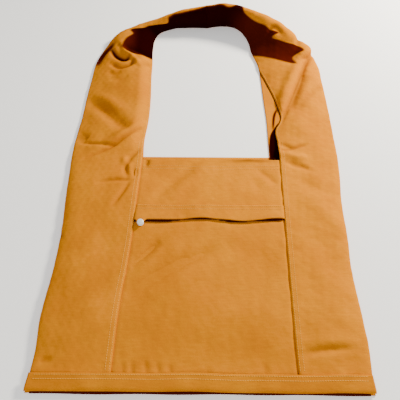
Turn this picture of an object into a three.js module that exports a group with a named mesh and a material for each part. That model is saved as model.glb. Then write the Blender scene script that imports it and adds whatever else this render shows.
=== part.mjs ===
// Hand warmer muff of duck canvas, lying flat on its back: a quilted muff body that is open at both
// sides for the hands, a snap-down pocket on its front, and a wide two-layer neck loop.
// Millimetres: +X to the right across the front, +Y from the hem to the loop, +Z up. The origin is
// the middle of the footprint, on the surface that the muff lies on.

import * as THREE from 'three';
import { mergeVertices } from 'three/addons/utils/BufferGeometryUtils.js';

const { clamp, lerp, smoothstep } = THREE.MathUtils;

// Outline, measured from the hem's lower edge.
const HEM_HALF = 246;
const HEM_TALL = 30;
const BODY_HALF = 241;
const LINING_HALF = 228;
const BODY_LOW = 31;
const FRONT_TOP = 380;
const BACK_TOP = 400;
const FACING_TALL = 28;
const LOOP_LOW = 402;
const RIDGE_HIGH = 56;
const MIDDLE_X = 10;

// Front panels and pocket.
const LEFT_SEAM = -124;
const RIGHT_SEAM = 137;
const SEAM_WIDE = 10;
const FLAP_LOW = 260;
const FLAP_HIGH = 291;
const POCKET_LIP = 266;
const POCKET_PUFF = 4.6;
const SNAP_X = -110;
const SNAP_Y = 254;

// Hand openings at the sides.
const HAND_LOW = 40;
const HAND_HIGH = 240;

// How far the muff lies askew, in millimetres of X for each of Y, and how far its sides spread.
const MIDDLE_LEAN = 0.03;
const SIDE_LEAN = 0.0125;
const SPREAD = 14;

// Thicknesses of the layers, and the gap between neighbours.
const GAP = 0.3;
const CANVAS = 1.2;
const BATTING = 1.8;
const LINING = 1;
const CHAMBER = 12;
const MOUTH = 4.5;
const PLATEAU_START = 112;
const PLATEAU_END = 296;

const BACK_STACK = CANVAS + GAP + BATTING + GAP + LINING;
const FRONT_UNDERLAY = LINING + GAP + BATTING + GAP;
const FLAP_RISE = GAP + POCKET_PUFF + CANVAS;

// Grid lines that every layer of the body shares, so that the layers nest.
const ROWS = [31, 42, 54, 66, 80, 96, 112, 236, 247, 258, 296, 312, 330, 350, 380, 400];
const CENTRE_HALF = 150;
const EDGE_COLUMNS = [192, 204, 216, 228, 241];
const FLAT_ROWS = ROWS.filter((y) => y > HAND_HIGH);
const FLAT_COLUMNS = [-192, -CENTRE_HALF, CENTRE_HALF, 192];

const canvas = { color: 0xb0691f, roughness: 0.9, metalness: 0 };
const lining = { color: 0x6b3514, roughness: 0.95, metalness: 0 };
const batting = { color: 0xe9e4d8, roughness: 1, metalness: 0 };
const nickel = { color: 0xd9d4c8, roughness: 0.35, metalness: 0.8 };

const muff = new THREE.Group();

function addPiece(name, finish, geometry) {
  const mesh = new THREE.Mesh(geometry, new THREE.MeshStandardMaterial(finish));
  mesh.name = name;
  muff.add(mesh);
  return mesh;
}

// A box whose grid points are placed by a function of three shares: along, across and through.
// The squares of its under side are split along the same diagonal as those of its upper side, so
// that stacked sheets stay parallel.
function mappedBox(along, across, place) {
  const geometry = new THREE.BoxGeometry(1, 1, 1, along, across, 1);
  const under = geometry.groups[5];
  const index = geometry.index;
  for (let i = under.start; i < under.start + under.count; i += 6) {
    const [a, b, d, c] = [0, 1, 2, 4].map((step) => index.getX(i + step));
    [a, b, c, a, c, d].forEach((corner, step) => index.setX(i + step, corner));
  }
  const position = geometry.attributes.position;
  const point = new THREE.Vector3();
  for (let i = 0; i < position.count; i += 1) {
    point.fromBufferAttribute(position, i).addScalar(0.5);
    const placed = place(point.x, point.y, point.z);
    position.setXYZ(i, placed.x, placed.y, placed.z);
  }
  geometry.deleteAttribute('normal');
  geometry.deleteAttribute('uv');
  geometry.clearGroups();
  const merged = mergeVertices(geometry, 1e-4);
  merged.computeVertexNormals();
  return merged;
}

// Height of the hand chamber along Y: shut at the hem, full height between, low at the neckline.
function chamberAlongY(y) {
  const rise = smoothstep(y, BODY_LOW, PLATEAU_START);
  const fall = smoothstep(y, PLATEAU_END, FRONT_TOP);
  return lerp(lerp(GAP, CHAMBER, rise), MOUTH, fall);
}

// Above the hand openings the two layers close towards the side seams.
function closeAtSides(x, y) {
  const shut = smoothstep(y, 236, 258) * smoothstep(Math.abs(x), EDGE_COLUMNS[0], LINING_HALF);
  return lerp(1, 0.05, shut);
}

function along(grid, value, read) {
  const last = grid.length - 2;
  const i = clamp(grid.findIndex((line) => line > value) - 1, 0, last);
  const cell = grid.at(-1) <= value ? last : i;
  const share = clamp((value - grid[cell]) / (grid[cell + 1] - grid[cell]), 0, 1);
  return lerp(read(grid[cell]), read(grid[cell + 1]), share);
}

// Underside of the front lining, straight between the shared grid lines.
function chamberTop(x, y) {
  const high = (column) => along(ROWS, y, (row) => chamberAlongY(row) * closeAtSides(column, row));
  return BACK_STACK + along(EDGE_COLUMNS, Math.abs(x), high);
}

const frontCanvas = (x, y) => chamberTop(x, y) + FRONT_UNDERLAY;
const aboveFront = (rise) => (x, y) => frontCanvas(x, y) + rise;
const level = (z) => () => z;

function within(grid, low, high) {
  return [low, ...grid.filter((line) => line > low && line < high), high];
}

function columnsBetween(low, high) {
  const right = [CENTRE_HALF, ...EDGE_COLUMNS];
  return within([...right.map((x) => -x).reverse(), ...right], low, high);
}

// The muff lies a little askew: its middle leans to the right, and its sides spread towards the
// shoulders.
function askew(x, y) {
  const outside = clamp((Math.abs(x) - CENTRE_HALF) / (EDGE_COLUMNS[0] - CENTRE_HALF), 0, 1);
  const middle = MIDDLE_LEAN * y;
  const side = SIDE_LEAN * y + Math.sign(x) * SPREAD * smoothstep(y, HAND_HIGH, FRONT_TOP);
  return x + lerp(middle, side, outside);
}

// One layer of the body between two heights.
function layer(name, finish, [x0, x1], [y0, y1], low, high, columns, grid = ROWS) {
  const rows = within(grid, y0, y1);
  const lines = columns ?? columnsBetween(x0, x1);
  const place = (u, v, w) => {
    const x = lines[Math.round(u * (lines.length - 1))];
    const y = rows[Math.round(v * (rows.length - 1))];
    return new THREE.Vector3(askew(x, y), y, w > 0.5 ? high(x, y) : low(x, y));
  };
  return addPiece(name, finish, mappedBox(lines.length - 1, rows.length - 1, place));
}

// A flat slab with square edges.
function slab(name, finish, [x0, x1], [y0, y1], [z0, z1]) {
  const geometry = new THREE.BoxGeometry(x1 - x0, y1 - y0, z1 - z0);
  geometry.translate((x0 + x1) / 2, (y0 + y1) / 2, (z0 + z1) / 2);
  return addPiece(name, finish, geometry);
}

// Back of the muff.
const backBattingLow = CANVAS + GAP;
const backLiningLow = backBattingLow + BATTING + GAP;
const liningX = [-LINING_HALF, LINING_HALF];
const liningTop = FRONT_TOP - FACING_TALL;

function addBack() {
  const sheet = (name, finish, [x0, x1], rows, low, high) =>
    layer(name, finish, [x0, x1], rows, level(low), level(high),
      within(FLAT_COLUMNS, x0, x1), FLAT_ROWS);
  const quilted = [BODY_LOW, liningTop];
  sheet('back_panel', canvas, [-BODY_HALF, BODY_HALF], [BODY_LOW, BACK_TOP], 0, CANVAS);
  sheet('back_batting', batting, liningX, quilted, backBattingLow, backBattingLow + BATTING);
  sheet('back_lining', lining, liningX, quilted, backLiningLow, BACK_STACK);
  sheet('back_facing', canvas, liningX, [liningTop + GAP, BACK_TOP],
    backBattingLow, backBattingLow + CANVAS);
}

// Front of the muff: lining, batting, the panel behind the pocket and the two side panels.
function addFront() {
  const rows = [BODY_LOW, liningTop];
  layer('front_lining', lining, liningX, rows, chamberTop, aboveFront(LINING - FRONT_UNDERLAY));
  layer('front_batting', batting, liningX, rows,
    aboveFront(-BATTING - GAP), aboveFront(-GAP));
  layer('front_facing', canvas, liningX, [liningTop + GAP, FRONT_TOP],
    aboveFront(-CANVAS - GAP), aboveFront(-GAP));
  layer('centre_panel', canvas, [LEFT_SEAM + GAP, RIGHT_SEAM - GAP], [BODY_LOW, FRONT_TOP],
    frontCanvas, aboveFront(CANVAS));
  layer('left_side_panel', canvas, [-BODY_HALF, LEFT_SEAM - SEAM_WIDE - GAP], [BODY_LOW, BACK_TOP],
    frontCanvas, aboveFront(CANVAS));
  layer('right_side_panel', canvas, [RIGHT_SEAM + SEAM_WIDE + GAP, BODY_HALF], [BODY_LOW, BACK_TOP],
    frontCanvas, aboveFront(CANVAS));
}

// Pocket on the centre panel: its front puffs up between the seams and the hem, and its lip is
// covered by the snap-down flap at the yoke's lower edge.
const PUFF_COLUMNS = [LEFT_SEAM + GAP, -89, -77, -65, 98, 110, 122, RIGHT_SEAM - GAP];

function pocketPuff(x, y) {
  const sides = smoothstep(x, -89, -65) * (1 - smoothstep(x, 98, 122));
  return GAP + POCKET_PUFF * sides * along(ROWS, y, (row) => smoothstep(row, 36, 80));
}

function yokeRise(x, y) {
  return lerp(FLAP_RISE + GAP, GAP, smoothstep(y, FLAP_HIGH, 350));
}

function addPocket() {
  const overPanel = aboveFront(CANVAS);
  const puffed = (rise) => (x, y) => overPanel(x, y) + pocketPuff(x, y) + rise;
  const yoke = (rise) => (x, y) => overPanel(x, y) + yokeRise(x, y) + rise;
  const across = [LEFT_SEAM + GAP, RIGHT_SEAM - GAP];
  layer('pocket_panel', canvas, across, [BODY_LOW, POCKET_LIP], puffed(0), puffed(CANVAS), PUFF_COLUMNS);
  layer('front_yoke', canvas, across, [FLAP_HIGH + GAP, FRONT_TOP], yoke(0), yoke(CANVAS), across);
}

// Felled seams that join the centre to the side panels, and the hem bands.
function addSeams() {
  const run = [BODY_LOW, BACK_TOP];
  const thick = 3 * CANVAS;
  const pocketStack = GAP + CANVAS + GAP;
  layer('left_felled_seam', canvas, [LEFT_SEAM - SEAM_WIDE, LEFT_SEAM], run,
    frontCanvas, aboveFront(thick), [LEFT_SEAM - SEAM_WIDE, LEFT_SEAM]);
  layer('right_felled_seam', canvas, [RIGHT_SEAM, RIGHT_SEAM + SEAM_WIDE], run,
    frontCanvas, aboveFront(thick), [RIGHT_SEAM, RIGHT_SEAM + SEAM_WIDE]);
  const bandX = [-HEM_HALF, HEM_HALF];
  const bandY = [0, HEM_TALL];
  const bandSplit = BACK_STACK + GAP;
  const bandTop = bandSplit + FRONT_UNDERLAY + CANVAS + pocketStack;
  slab('hem_band_back', canvas, bandX, bandY, [0, BACK_STACK]);
  slab('hem_band_front', canvas, bandX, bandY, [bandSplit, bandTop]);
}

// Each side: the turned hems of the hand opening, and the seam above it.
function addSides() {
  for (const [side, sign] of [['left', -1], ['right', 1]]) {
    const strip = [sign * (LINING_HALF + GAP), sign * BODY_HALF].sort((a, b) => a - b);
    const opening = [HAND_LOW, HAND_HIGH];
    layer(`${side}_hand_hem_back`, canvas, strip, opening, level(backBattingLow), level(BACK_STACK),
      strip, FLAT_ROWS);
    layer(`${side}_hand_hem_front`, canvas, strip, opening, chamberTop, aboveFront(-GAP));
    layer(`${side}_side_seam`, canvas, strip, [HAND_HIGH + 18, BACK_TOP],
      level(backBattingLow), aboveFront(-GAP));
  }
}

// The flap folds up about its stitch line. Its corner tab reaches down to the snap.
const flapUnder = frontCanvas(0, FLAP_LOW) + CANVAS + FLAP_RISE + GAP;
const TAB_HALF = 9.5;
const snapX = askew(SNAP_X, SNAP_Y);

function flapOutline() {
  const outline = new THREE.Shape();
  const [x0, x1] = [LEFT_SEAM + GAP, RIGHT_SEAM - GAP];
  outline.moveTo(askew(x0, FLAP_HIGH), FLAP_HIGH);
  outline.lineTo(askew(x0, FLAP_LOW), FLAP_LOW);
  outline.absarc(snapX, SNAP_Y, TAB_HALF, Math.PI, 2 * Math.PI, false);
  outline.lineTo(snapX + TAB_HALF, FLAP_LOW);
  outline.lineTo(askew(x1, FLAP_LOW), FLAP_LOW);
  outline.lineTo(askew(x1, FLAP_HIGH), FLAP_HIGH);
  return outline;
}

function turned(name, profile, z) {
  const points = profile.map(([radius, high]) => new THREE.Vector2(radius, high));
  const geometry = new THREE.LatheGeometry([...points, points[0].clone()], 20);
  geometry.rotateX(Math.PI / 2);
  geometry.translate(snapX, SNAP_Y, z);
  return addPiece(name, nickel, geometry);
}

function addFlap() {
  const geometry = new THREE.ExtrudeGeometry(flapOutline(), {
    depth: CANVAS,
    bevelEnabled: false,
    curveSegments: 8,
  });
  geometry.translate(0, 0, flapUnder);
  addPiece('pocket_flap', canvas, geometry);
  const pocketTop = frontCanvas(0, SNAP_Y) + CANVAS + GAP + CANVAS;
  turned('snap_stud', [[0, 0], [6, 0], [6, 0.8], [2, 0.8], [2, 3.4], [0, 3.4]], pocketTop + GAP);
  turned('snap_socket', [[2.6, 0], [5, 0], [5, 1.6], [2.6, 1.6]], flapUnder - GAP - 1.6);
  turned('snap_cap', [[0, 0], [7.2, 0], [7.2, 0.7], [5.6, 1.6], [3, 2.1], [0, 2.3]],
    flapUnder + CANVAS + GAP);
}

// Neck loop. Three lines run from each leg's foot to the middle of the arch: the inner edge, the
// crest and the outer edge. The strip lies flat on the leg and stands up in a roll on the arch,
// lower on the left than on the right.
const at = (x, y, z = 0) => new THREE.Vector3(x, y, z);

// Each line passes straight over the middle, so it ends with a mirrored point beyond it.
function halfLine(points) {
  const beyond = points.at(-2).clone();
  beyond.x = 2 * MIDDLE_X - beyond.x;
  const line = new THREE.CatmullRomCurve3([...points, beyond]);
  const half = (points.length - 1) / points.length;
  return (s) => line.getPoint(s * half);
}

const innerTop = at(MIDDLE_X, 797);
const crestTop = at(MIDDLE_X, 808, 53);
const outerTop = at(MIDDLE_X, 835);

const leftStrip = {
  side: 'left',
  sign: -1,
  seam: askew(LEFT_SEAM, BACK_TOP),
  inner: halfLine([
    at(-115, LOOP_LOW), at(-109, 540), at(-113, 640), at(-115, 700),
    at(-117, 738), at(-102, 776), at(-66, 794), innerTop,
  ]),
  crest: halfLine([
    at(-182, LOOP_LOW), at(-177, 540), at(-180, 640, 1), at(-190, 700, 4),
    at(-184, 744, 10), at(-145, 778, 20), at(-86, 798, 38), crestTop,
  ]),
  outer: halfLine([
    at(-250, LOOP_LOW), at(-246, 540), at(-243, 640), at(-236, 698),
    at(-217, 742), at(-172, 788), at(-94, 824), outerTop,
  ]),
};

const rightStrip = {
  side: 'right',
  sign: 1,
  seam: askew(RIGHT_SEAM, BACK_TOP),
  inner: halfLine([
    at(131, LOOP_LOW), at(132, 540), at(130, 640), at(121, 700),
    at(112, 738), at(98, 774), at(66, 794), innerTop,
  ]),
  crest: halfLine([
    at(197, LOOP_LOW), at(198, 540), at(202, 640, 2), at(214, 696, 14),
    at(203, 734, 37), at(160, 766, 50), at(90, 797, RIDGE_HIGH), crestTop,
  ]),
  outer: halfLine([
    at(261, LOOP_LOW), at(263, 540), at(262, 640), at(257, 698),
    at(238, 745), at(188, 790), at(100, 826), outerTop,
  ]),
};

// Stations along the strip: close together where it lifts off the body and where it rolls.
const STATIONS = [
  0, 0.02, 0.04, 0.065, 0.1, 0.143, 0.22, 0.286, 0.34, 0.39, 0.43, 0.47,
  0.505, 0.54, 0.575, 0.61, 0.645, 0.68, 0.715, 0.76, 0.81, 0.86, 0.93, 1,
];
const ACROSS = 8;

// Crosswise the strip is flat on the leg, and two quarters of an ellipse on the arch.
function stripPoint(strip, s, t) {
  const turn = t * Math.PI;
  const crest = strip.crest(s);
  const edge = t < 0.5 ? strip.inner(s) : strip.outer(s);
  const flat = 1 - Math.abs(1 - 2 * t);
  const rolled = 1 - Math.abs(Math.cos(turn));
  const point = edge.lerp(crest, lerp(flat, rolled, clamp(crest.z / RIDGE_HIGH, 0, 1)));
  point.z = crest.z * Math.sin(turn);
  return point;
}

function stripNormal(strip, s, t) {
  const step = 0.004;
  const s0 = Math.max(s, step);
  const t0 = clamp(t, step, 1 - step);
  const lengthwise = stripPoint(strip, s0 + step, t0).sub(stripPoint(strip, s0 - step, t0));
  const crosswise = stripPoint(strip, s0, t0 + step).sub(stripPoint(strip, s0, t0 - step));
  return crosswise.cross(lengthwise).normalize().multiplyScalar(strip.sign);
}

function lifted(strip, s, t, rise) {
  return stripPoint(strip, s, t).addScaledVector(stripNormal(strip, s, t), rise);
}

// The front layer leaves the body at the height and the width of the side panel that it continues.
const LIFT_END = 470;
const NARROW_END = 560;

function leaveBody(strip, point) {
  const landed = smoothstep(point.y, LOOP_LOW, LIFT_END);
  const rise = frontCanvas(point.x - MIDDLE_X / 2, BACK_TOP) - CANVAS - GAP;
  const foot = strip.inner(0).x;
  const span = strip.outer(0).x - foot;
  const narrow = (strip.seam - foot) * (1 - smoothstep(point.y, LOOP_LOW, NARROW_END));
  point.x += narrow * clamp((foot + span - point.x) / span, 0, 1);
  point.z += rise * (1 - landed);
}

function addStrip(strip) {
  const sheet = (name, low, onFront) => {
    const place = (u, v, w) => {
      const s = STATIONS[Math.round(v * (STATIONS.length - 1))];
      const t = strip.sign > 0 ? u : 1 - u;
      const point = lifted(strip, s, t, low + w * CANVAS);
      if (onFront) leaveBody(strip, point);
      const stop = MIDDLE_X + (strip.sign * GAP) / 2;
      point.x = strip.sign > 0 ? Math.max(point.x, stop) : Math.min(point.x, stop);
      point.z = Math.max(point.z, 0);
      return point;
    };
    addPiece(name, canvas, mappedBox(ACROSS, STATIONS.length - 1, place));
  };
  sheet(`${strip.side}_strap_back`, 0, false);
  sheet(`${strip.side}_strap_front`, CANVAS + GAP, true);
}

// Tape over the seam at the back of the neck, inside the roll.
const TAPE_HALF = 6;
const TAPE_THICK = 0.8;

// A point inside the roll, on the straight run from the middle of the arch to the next station.
function underRoll(strip, t, aside, rise) {
  const middle = lifted(strip, 1, t, rise);
  const next = lifted(strip, STATIONS.at(-2), t, rise);
  return middle.lerp(next, aside / Math.abs(next.x - MIDDLE_X));
}

function addTape() {
  const place = (u, v, w) => {
    const t = lerp(1 / ACROSS, 1 - 1 / ACROSS, u);
    const strip = v < 0.5 ? rightStrip : leftStrip;
    const aside = TAPE_HALF * Math.abs(1 - 2 * v);
    return underRoll(strip, t, aside, (w - 1) * TAPE_THICK - GAP);
  };
  addPiece('neck_seam_tape', canvas, mappedBox(ACROSS - 2, 2, place));
}

addBack();
addFront();
addPocket();
addSeams();
addSides();
addFlap();
addStrip(leftStrip);
addStrip(rightStrip);
addTape();

const extent = new THREE.Box3().setFromObject(muff);
const middle = extent.getCenter(new THREE.Vector3());
muff.position.set(-middle.x, -middle.y, 0);

export default muff;
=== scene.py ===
"""Hand warmer muff: a canvas muff body with a snap-down front pocket and a wide neck loop.

Every piece of cloth is a closed sheet, built in flat millimetres: x to the right across the front,
y up from the hem's lower edge and z up from the surface that the muff lies on.
"""
import math

import bpy
import numpy as np
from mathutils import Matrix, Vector


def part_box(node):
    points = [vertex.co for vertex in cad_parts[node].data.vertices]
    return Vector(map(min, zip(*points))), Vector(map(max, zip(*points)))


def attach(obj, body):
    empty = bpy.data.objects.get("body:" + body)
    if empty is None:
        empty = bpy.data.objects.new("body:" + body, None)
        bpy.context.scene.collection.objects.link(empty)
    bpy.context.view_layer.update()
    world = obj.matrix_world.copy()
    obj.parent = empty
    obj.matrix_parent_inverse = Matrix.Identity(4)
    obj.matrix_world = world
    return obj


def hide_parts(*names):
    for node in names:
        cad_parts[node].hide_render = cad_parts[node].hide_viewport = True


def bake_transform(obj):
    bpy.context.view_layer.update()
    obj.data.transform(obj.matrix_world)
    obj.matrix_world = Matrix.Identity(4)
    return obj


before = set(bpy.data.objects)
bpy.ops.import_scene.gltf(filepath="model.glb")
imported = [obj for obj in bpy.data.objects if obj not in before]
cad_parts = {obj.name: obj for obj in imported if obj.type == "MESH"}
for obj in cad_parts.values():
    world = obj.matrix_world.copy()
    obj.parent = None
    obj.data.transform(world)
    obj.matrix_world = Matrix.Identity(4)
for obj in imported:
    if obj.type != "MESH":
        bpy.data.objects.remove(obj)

SCENE = bpy.context.scene
MM = 0.001
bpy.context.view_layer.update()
hem_low, hem_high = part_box("hem_band_front")
ORIGIN = np.array([(hem_low.x + hem_high.x) / 2, hem_low.y, 0.0])

# Measures of the muff, in millimetres.
HEM_TALL = 30
BODY_LOW = 22
NECKLINE = 394
BACK_NECKLINE = 405
STRAP_START = 402
FLAP_LOW = 262.5
FLAP_HIGH = 292
POCKET_LIP = 273
SLIT_BAND = 10
CROWN = 19
SIDE_RISE = 7
SIDE_ROUND = 62
CANVAS = 1.2
LINING = 0.9
SEAM_WIDE = 11
SNAP_X = -103
SNAP_Y = 256.5
SNAP_FLAP = 2.6
HAND_OPENING = (40, 240)
CELL = 2.4


# Small helpers for shapes.
def smooth(values, low, high):
    share = np.clip((np.asarray(values, float) - low) / (high - low), 0, 1)
    return share * share * (3 - 2 * share)


def mix(a, b, share):
    return a + (b - a) * share


def spline(knots):
    """A smooth curve through knots (place, value...) as a function of the place."""
    table = np.array(knots, float)
    places, values = table[:, 0], table[:, 1:]
    slopes = np.gradient(values, places, axis=0)

    def read(where):
        where = np.clip(np.asarray(where, float), places[0], places[-1])
        cell = np.clip(np.searchsorted(places, where, side="right") - 1, 0, len(places) - 2)
        span = (places[cell + 1] - places[cell])[..., None]
        share = ((where - places[cell])[..., None]) / span
        squared, cubed = share ** 2, share ** 3
        return ((2 * cubed - 3 * squared + 1) * values[cell]
                + (cubed - 2 * squared + share) * span * slopes[cell]
                + (3 * squared - 2 * cubed) * values[cell + 1]
                + (cubed - squared) * span * slopes[cell + 1])

    return read


def line(knots):
    """A smooth curve x = f(y) through knots (y, x)."""
    read = spline(knots)
    return lambda y: read(y)[..., 0]


def wander(x, y, size, seed, waves=7):
    """Gentle random unevenness of about one, with features about so many millimetres across."""
    random = np.random.default_rng(seed)
    total = np.zeros(np.broadcast(x, y).shape)
    for _ in range(waves):
        turn = random.uniform(0, math.tau)
        length = size * random.uniform(0.7, 1.5)
        phase = random.uniform(0, math.tau)
        along = x * math.cos(turn) + y * math.sin(turn)
        total += np.sin(along * math.tau / length + phase)
    return total / math.sqrt(waves)


def distance_to(x, y, points):
    """Distance from each place to a broken line, and how far along it the nearest point is."""
    best = np.full(np.broadcast(x, y).shape, 1e9)
    share = np.zeros_like(best)
    count = len(points) - 1
    for i in range(count):
        (ax, ay), (bx, by) = points[i], points[i + 1]
        dx, dy = bx - ax, by - ay
        t = np.clip(((x - ax) * dx + (y - ay) * dy) / (dx * dx + dy * dy), 0, 1)
        gap = np.hypot(x - ax - t * dx, y - ay - t * dy)
        closer = gap < best
        best = np.where(closer, gap, best)
        share = np.where(closer, (i + t) / count, share)
    return best, share


def stroke(x, y, points, wide):
    """One crease as a soft profile, 1 on its line and tapering out at both ends."""
    if len(points) > 2:
        places = np.arange(len(points))
        curve = spline(np.column_stack([places, np.array(points, float)]))
        points = curve(np.linspace(0, len(points) - 1, 4 * len(points) - 3))
    gap, share = distance_to(x, y, points)
    taper = np.sqrt(np.clip(np.sin(np.clip(share, 0.02, 0.98) * math.pi), 0, 1))
    return np.exp(-(gap / wide) ** 2) * taper


# Outline of the body, and the two seams where the side strips overlap the centre.
left_edge = line([(0, -247), (30, -241), (100, -244), (180, -239), (240, -239), (314, -245),
                  (402, -250)])
right_edge = line([(0, 246), (28, 243), (58, 246.5), (100, 246), (180, 244), (240, 248), (314, 252),
                   (365, 258), (402, 261)])
left_seam = line([(0, -127.5), (60, -126), (128, -123), (189, -118), (300, -114), (402, -113)])
right_seam = line([(0, 140), (71, 138.5), (130, 139), (191, 140.5), (300, 144), (402, 149)])

# The neck loop: knots along each strip (place, inner x y, crest x y z, outer x y). The places up to
# the start of the strap are y itself.
LOOP_MIDDLE = 10
LEFT_LOOP = [
    (STRAP_START, -113, 402, -182, 402, 0, -250, 402),
    (440, -114.5, 440, -183, 440, 0, -250.5, 440),
    (500, -110, 500, -179, 500, 0, -247, 500),
    (560, -110, 560, -178, 560, 0, -246, 560),
    (620, -113, 620, -178, 620, 1, -243.5, 620),
    (670, -114, 668, -186, 672, 3, -241, 665),
    (710, -116, 706, -190, 708, 7, -231, 700),
    (745, -115, 742, -182, 744, 14, -213, 738),
    (785, -104, 773, -148, 767, 20, -166, 769),
    (830, -70, 794, -90, 781, 32, -106, 796),
    (880, -28, 797, -42, 789, 44, -48, 816),
    (935, LOOP_MIDDLE, 796, LOOP_MIDDLE, 793, 51, LOOP_MIDDLE, 824),
]
RIGHT_LOOP = [
    (STRAP_START, 131, 402, 197, 402, 0, 261, 402),
    (440, 131.5, 440, 198, 440, 0, 262, 440),
    (500, 132.5, 500, 199, 500, 0, 263.5, 500),
    (560, 130.5, 560, 200, 560, 1, 263.5, 560),
    (620, 129, 620, 203, 622, 4, 262.5, 615),
    (670, 126, 664, 210, 674, 9, 260, 658),
    (710, 115, 704, 208, 702, 21, 247, 691),
    (745, 112, 735, 186, 725, 34, 217, 724),
    (785, 103, 766, 154, 756, 44, 182, 764),
    (830, 82, 795, 109, 780, 51, 132, 795),
    (880, 48, 803, 58, 795, 56, 70, 822),
    (935, LOOP_MIDDLE, 796, LOOP_MIDDLE, 793, 51, LOOP_MIDDLE, 824),
]
LOOP_END = 935
# The roll begins here, and it is fully round where its crest stands as high as the ridge.
ROLL_START = 640
RIDGE = 45
STRIP_COLUMNS = 64
# The right strap's two layers come together again here.
SWING_END = 664


def loop_surface(table):
    """The strip's middle surface as a function of the place along and the share across."""
    read = spline(table)

    def place(q, t):
        values = read(q)
        inner, crest, outer = values[..., 0:2], values[..., 2:5], values[..., 5:7]
        turn = t * math.pi
        edge = np.where((t < 0.5)[..., None], inner, outer)
        flat = mix(edge, crest[..., 0:2], (1 - np.abs(1 - 2 * t))[..., None])
        rolled = mix(inner, outer, (0.5 - 0.5 * np.cos(turn))[..., None]) \
            + (crest[..., 0:2] - (inner + outer) / 2) * np.sin(turn)[..., None]
        place_flat = mix(flat, rolled, np.clip(crest[..., 2] / RIDGE, 0, 1)[..., None])
        high = crest[..., 2] * np.sin(turn)
        return np.concatenate([place_flat, high[..., None]], axis=-1)

    return place


def normals_of(points):
    """The unit normal at each point of a grid."""
    along = np.gradient(points, axis=0)
    across = np.gradient(points, axis=1)
    normal = np.cross(across, along)
    length = np.linalg.norm(normal, axis=-1, keepdims=True)
    return normal / np.maximum(length, 1e-9)


# Height of the canvas on the front: a crown of padding that rounds over at both sides.
def crown_at(y):
    rise = mix(10.6, CROWN, smooth(y, 24, 120))
    return mix(rise, 12.0, smooth(y, 290, NECKLINE))


def front_height(x, y):
    low, high = left_edge(y), right_edge(y)
    inset = np.minimum(x - low, high - x)
    share = np.clip(inset / SIDE_ROUND, 0, 1)
    round_over = np.sqrt(np.clip(1 - (1 - share) ** 2, 0, 1))
    sides = mix(SIDE_RISE, 4.5, smooth(y, 240, 300))
    sag = 0.8 * wander(x, y, 150, 3) * share + 0.3 * wander(x, y, 60, 4) * share
    return mix(sides, crown_at(y) + sag, round_over)


# Creases: the line of each one, its width, its height (below nought for a valley) and how much of
# the painted shade of a deep fold it holds.
LEFT_CREASES = [
    ([(-119, 476), (-147, 449), (-179, 421), (-222, 396)], 4, -3.4, 0.20),
    ([(-112, 490), (-142, 466), (-176, 438), (-215, 420)], 9, 3.0, 0),
    ([(-244, 437), (-199, 429), (-166, 426)], 4, -2.6, 0.16),
    ([(-238, 546), (-203, 516), (-171, 484), (-140, 462)], 13, -4.5, 0.14),
    ([(-228, 566), (-188, 536), (-150, 506)], 12, 2.4, 0),
    ([(-250, 455), (-224, 444)], 10, -3.0, 0.20),
    ([(-190, 340), (-160, 345), (-130, 344)], 4, -2.4, 0.14),
    ([(-131, 340), (-142, 315), (-154, 290)], 4, -2.2, 0.12),
    ([(-120, 418), (-137, 394), (-142, 371), (-136, 352)], 5, -3.0, 0.16),
    ([(-126, 372), (-120, 352)], 4, -2.0, 0.20),
    ([(-150, 398), (-134, 372)], 6, 2.4, 0),
    ([(-128, 250), (-160, 215), (-210, 190)], 14, -1.6, 0),
    ([(-136, 165), (-200, 124), (-238, 97)], 13, -1.8, 0.03),
    ([(-140, 120), (-190, 80), (-232, 60)], 16, 1.6, 0),
    ([(-245, 245), (-236, 232)], 5, -2.5, 0.35),
    ([(-232, 40), (-214, 44)], 5, -1.6, 0.1),
    ([(-240, 652), (-228, 690), (-204, 724)], 8.5, -4.0, 0.85),
    ([(-212, 708), (-196, 678), (-176, 664), (-163, 672)], 6, -4.5, 0.85),
    ([(-206, 655), (-186, 641), (-162, 650), (-150, 672)], 6.5, -4.0, 0.34),
    # A broad painted shade without a fold, darkening the left strap.
    ([(-190, 690), (-184, 570), (-172, 452)], 62, 0.0, 0.105),
    ([(-208, 632), (-196, 622), (-176, 628)], 7, -2.0, 0.14),
    ([(-150, 640), (-132, 655), (-118, 660)], 9, -2.2, 0.12),
    ([(-190, 722), (-176, 690), (-158, 672), (-140, 650)], 6, 4.5, 0),
    ([(-190, 712), (-160, 694), (-114, 684)], 9, -4.0, 0.8),
    ([(-204, 610), (-180, 604), (-160, 614)], 9, -2.0, 0.08),
]
RIGHT_CREASES = [
    ([(255, 708), (231, 657), (210, 604), (188, 552), (162, 494)], 5.5, -5.0, 0.24),
    ([(242, 716), (214, 660), (190, 604), (168, 552), (154, 500)], 10, 3.6, 0),
    ([(226, 628), (200, 560), (186, 520)], 9, -4.0, 0.22),
    ([(196, 520), (220, 558), (258, 596)], 9, -2.6, 0.08),
    ([(150, 418), (176, 422), (204, 432)], 4, -3.0, 0.16),
    ([(158, 408), (182, 400), (202, 402)], 7, 2.4, 0),
    ([(160, 388), (186, 379), (200, 372)], 6, -2.6, 0.10),
    ([(150, 436), (166, 428), (176, 420)], 5, -2.2, 0.10),
    ([(176, 352), (205, 330), (240, 318)], 13, -2.0, 0.02),
    ([(196, 300), (226, 262), (244, 236)], 16, 1.8, 0),
    ([(190, 240), (214, 190), (238, 160)], 18, -1.6, 0),
    ([(148, 52), (184, 59), (222, 61)], 5, -1.8, 0.06),
    ([(150, 66), (190, 72), (228, 70)], 9, 1.4, 0),
    ([(256, 700), (238, 690), (214, 682)], 8, 1.2, 0),
    ([(246, 686), (232, 674), (216, 664)], 5, -2.0, 0.22),
    ([(150, 735), (164, 742), (182, 724)], 6, -3.6, 0.30),
    ([(206, 744), (216, 720), (214, 700)], 6, -3.0, 0.25),
]
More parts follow.
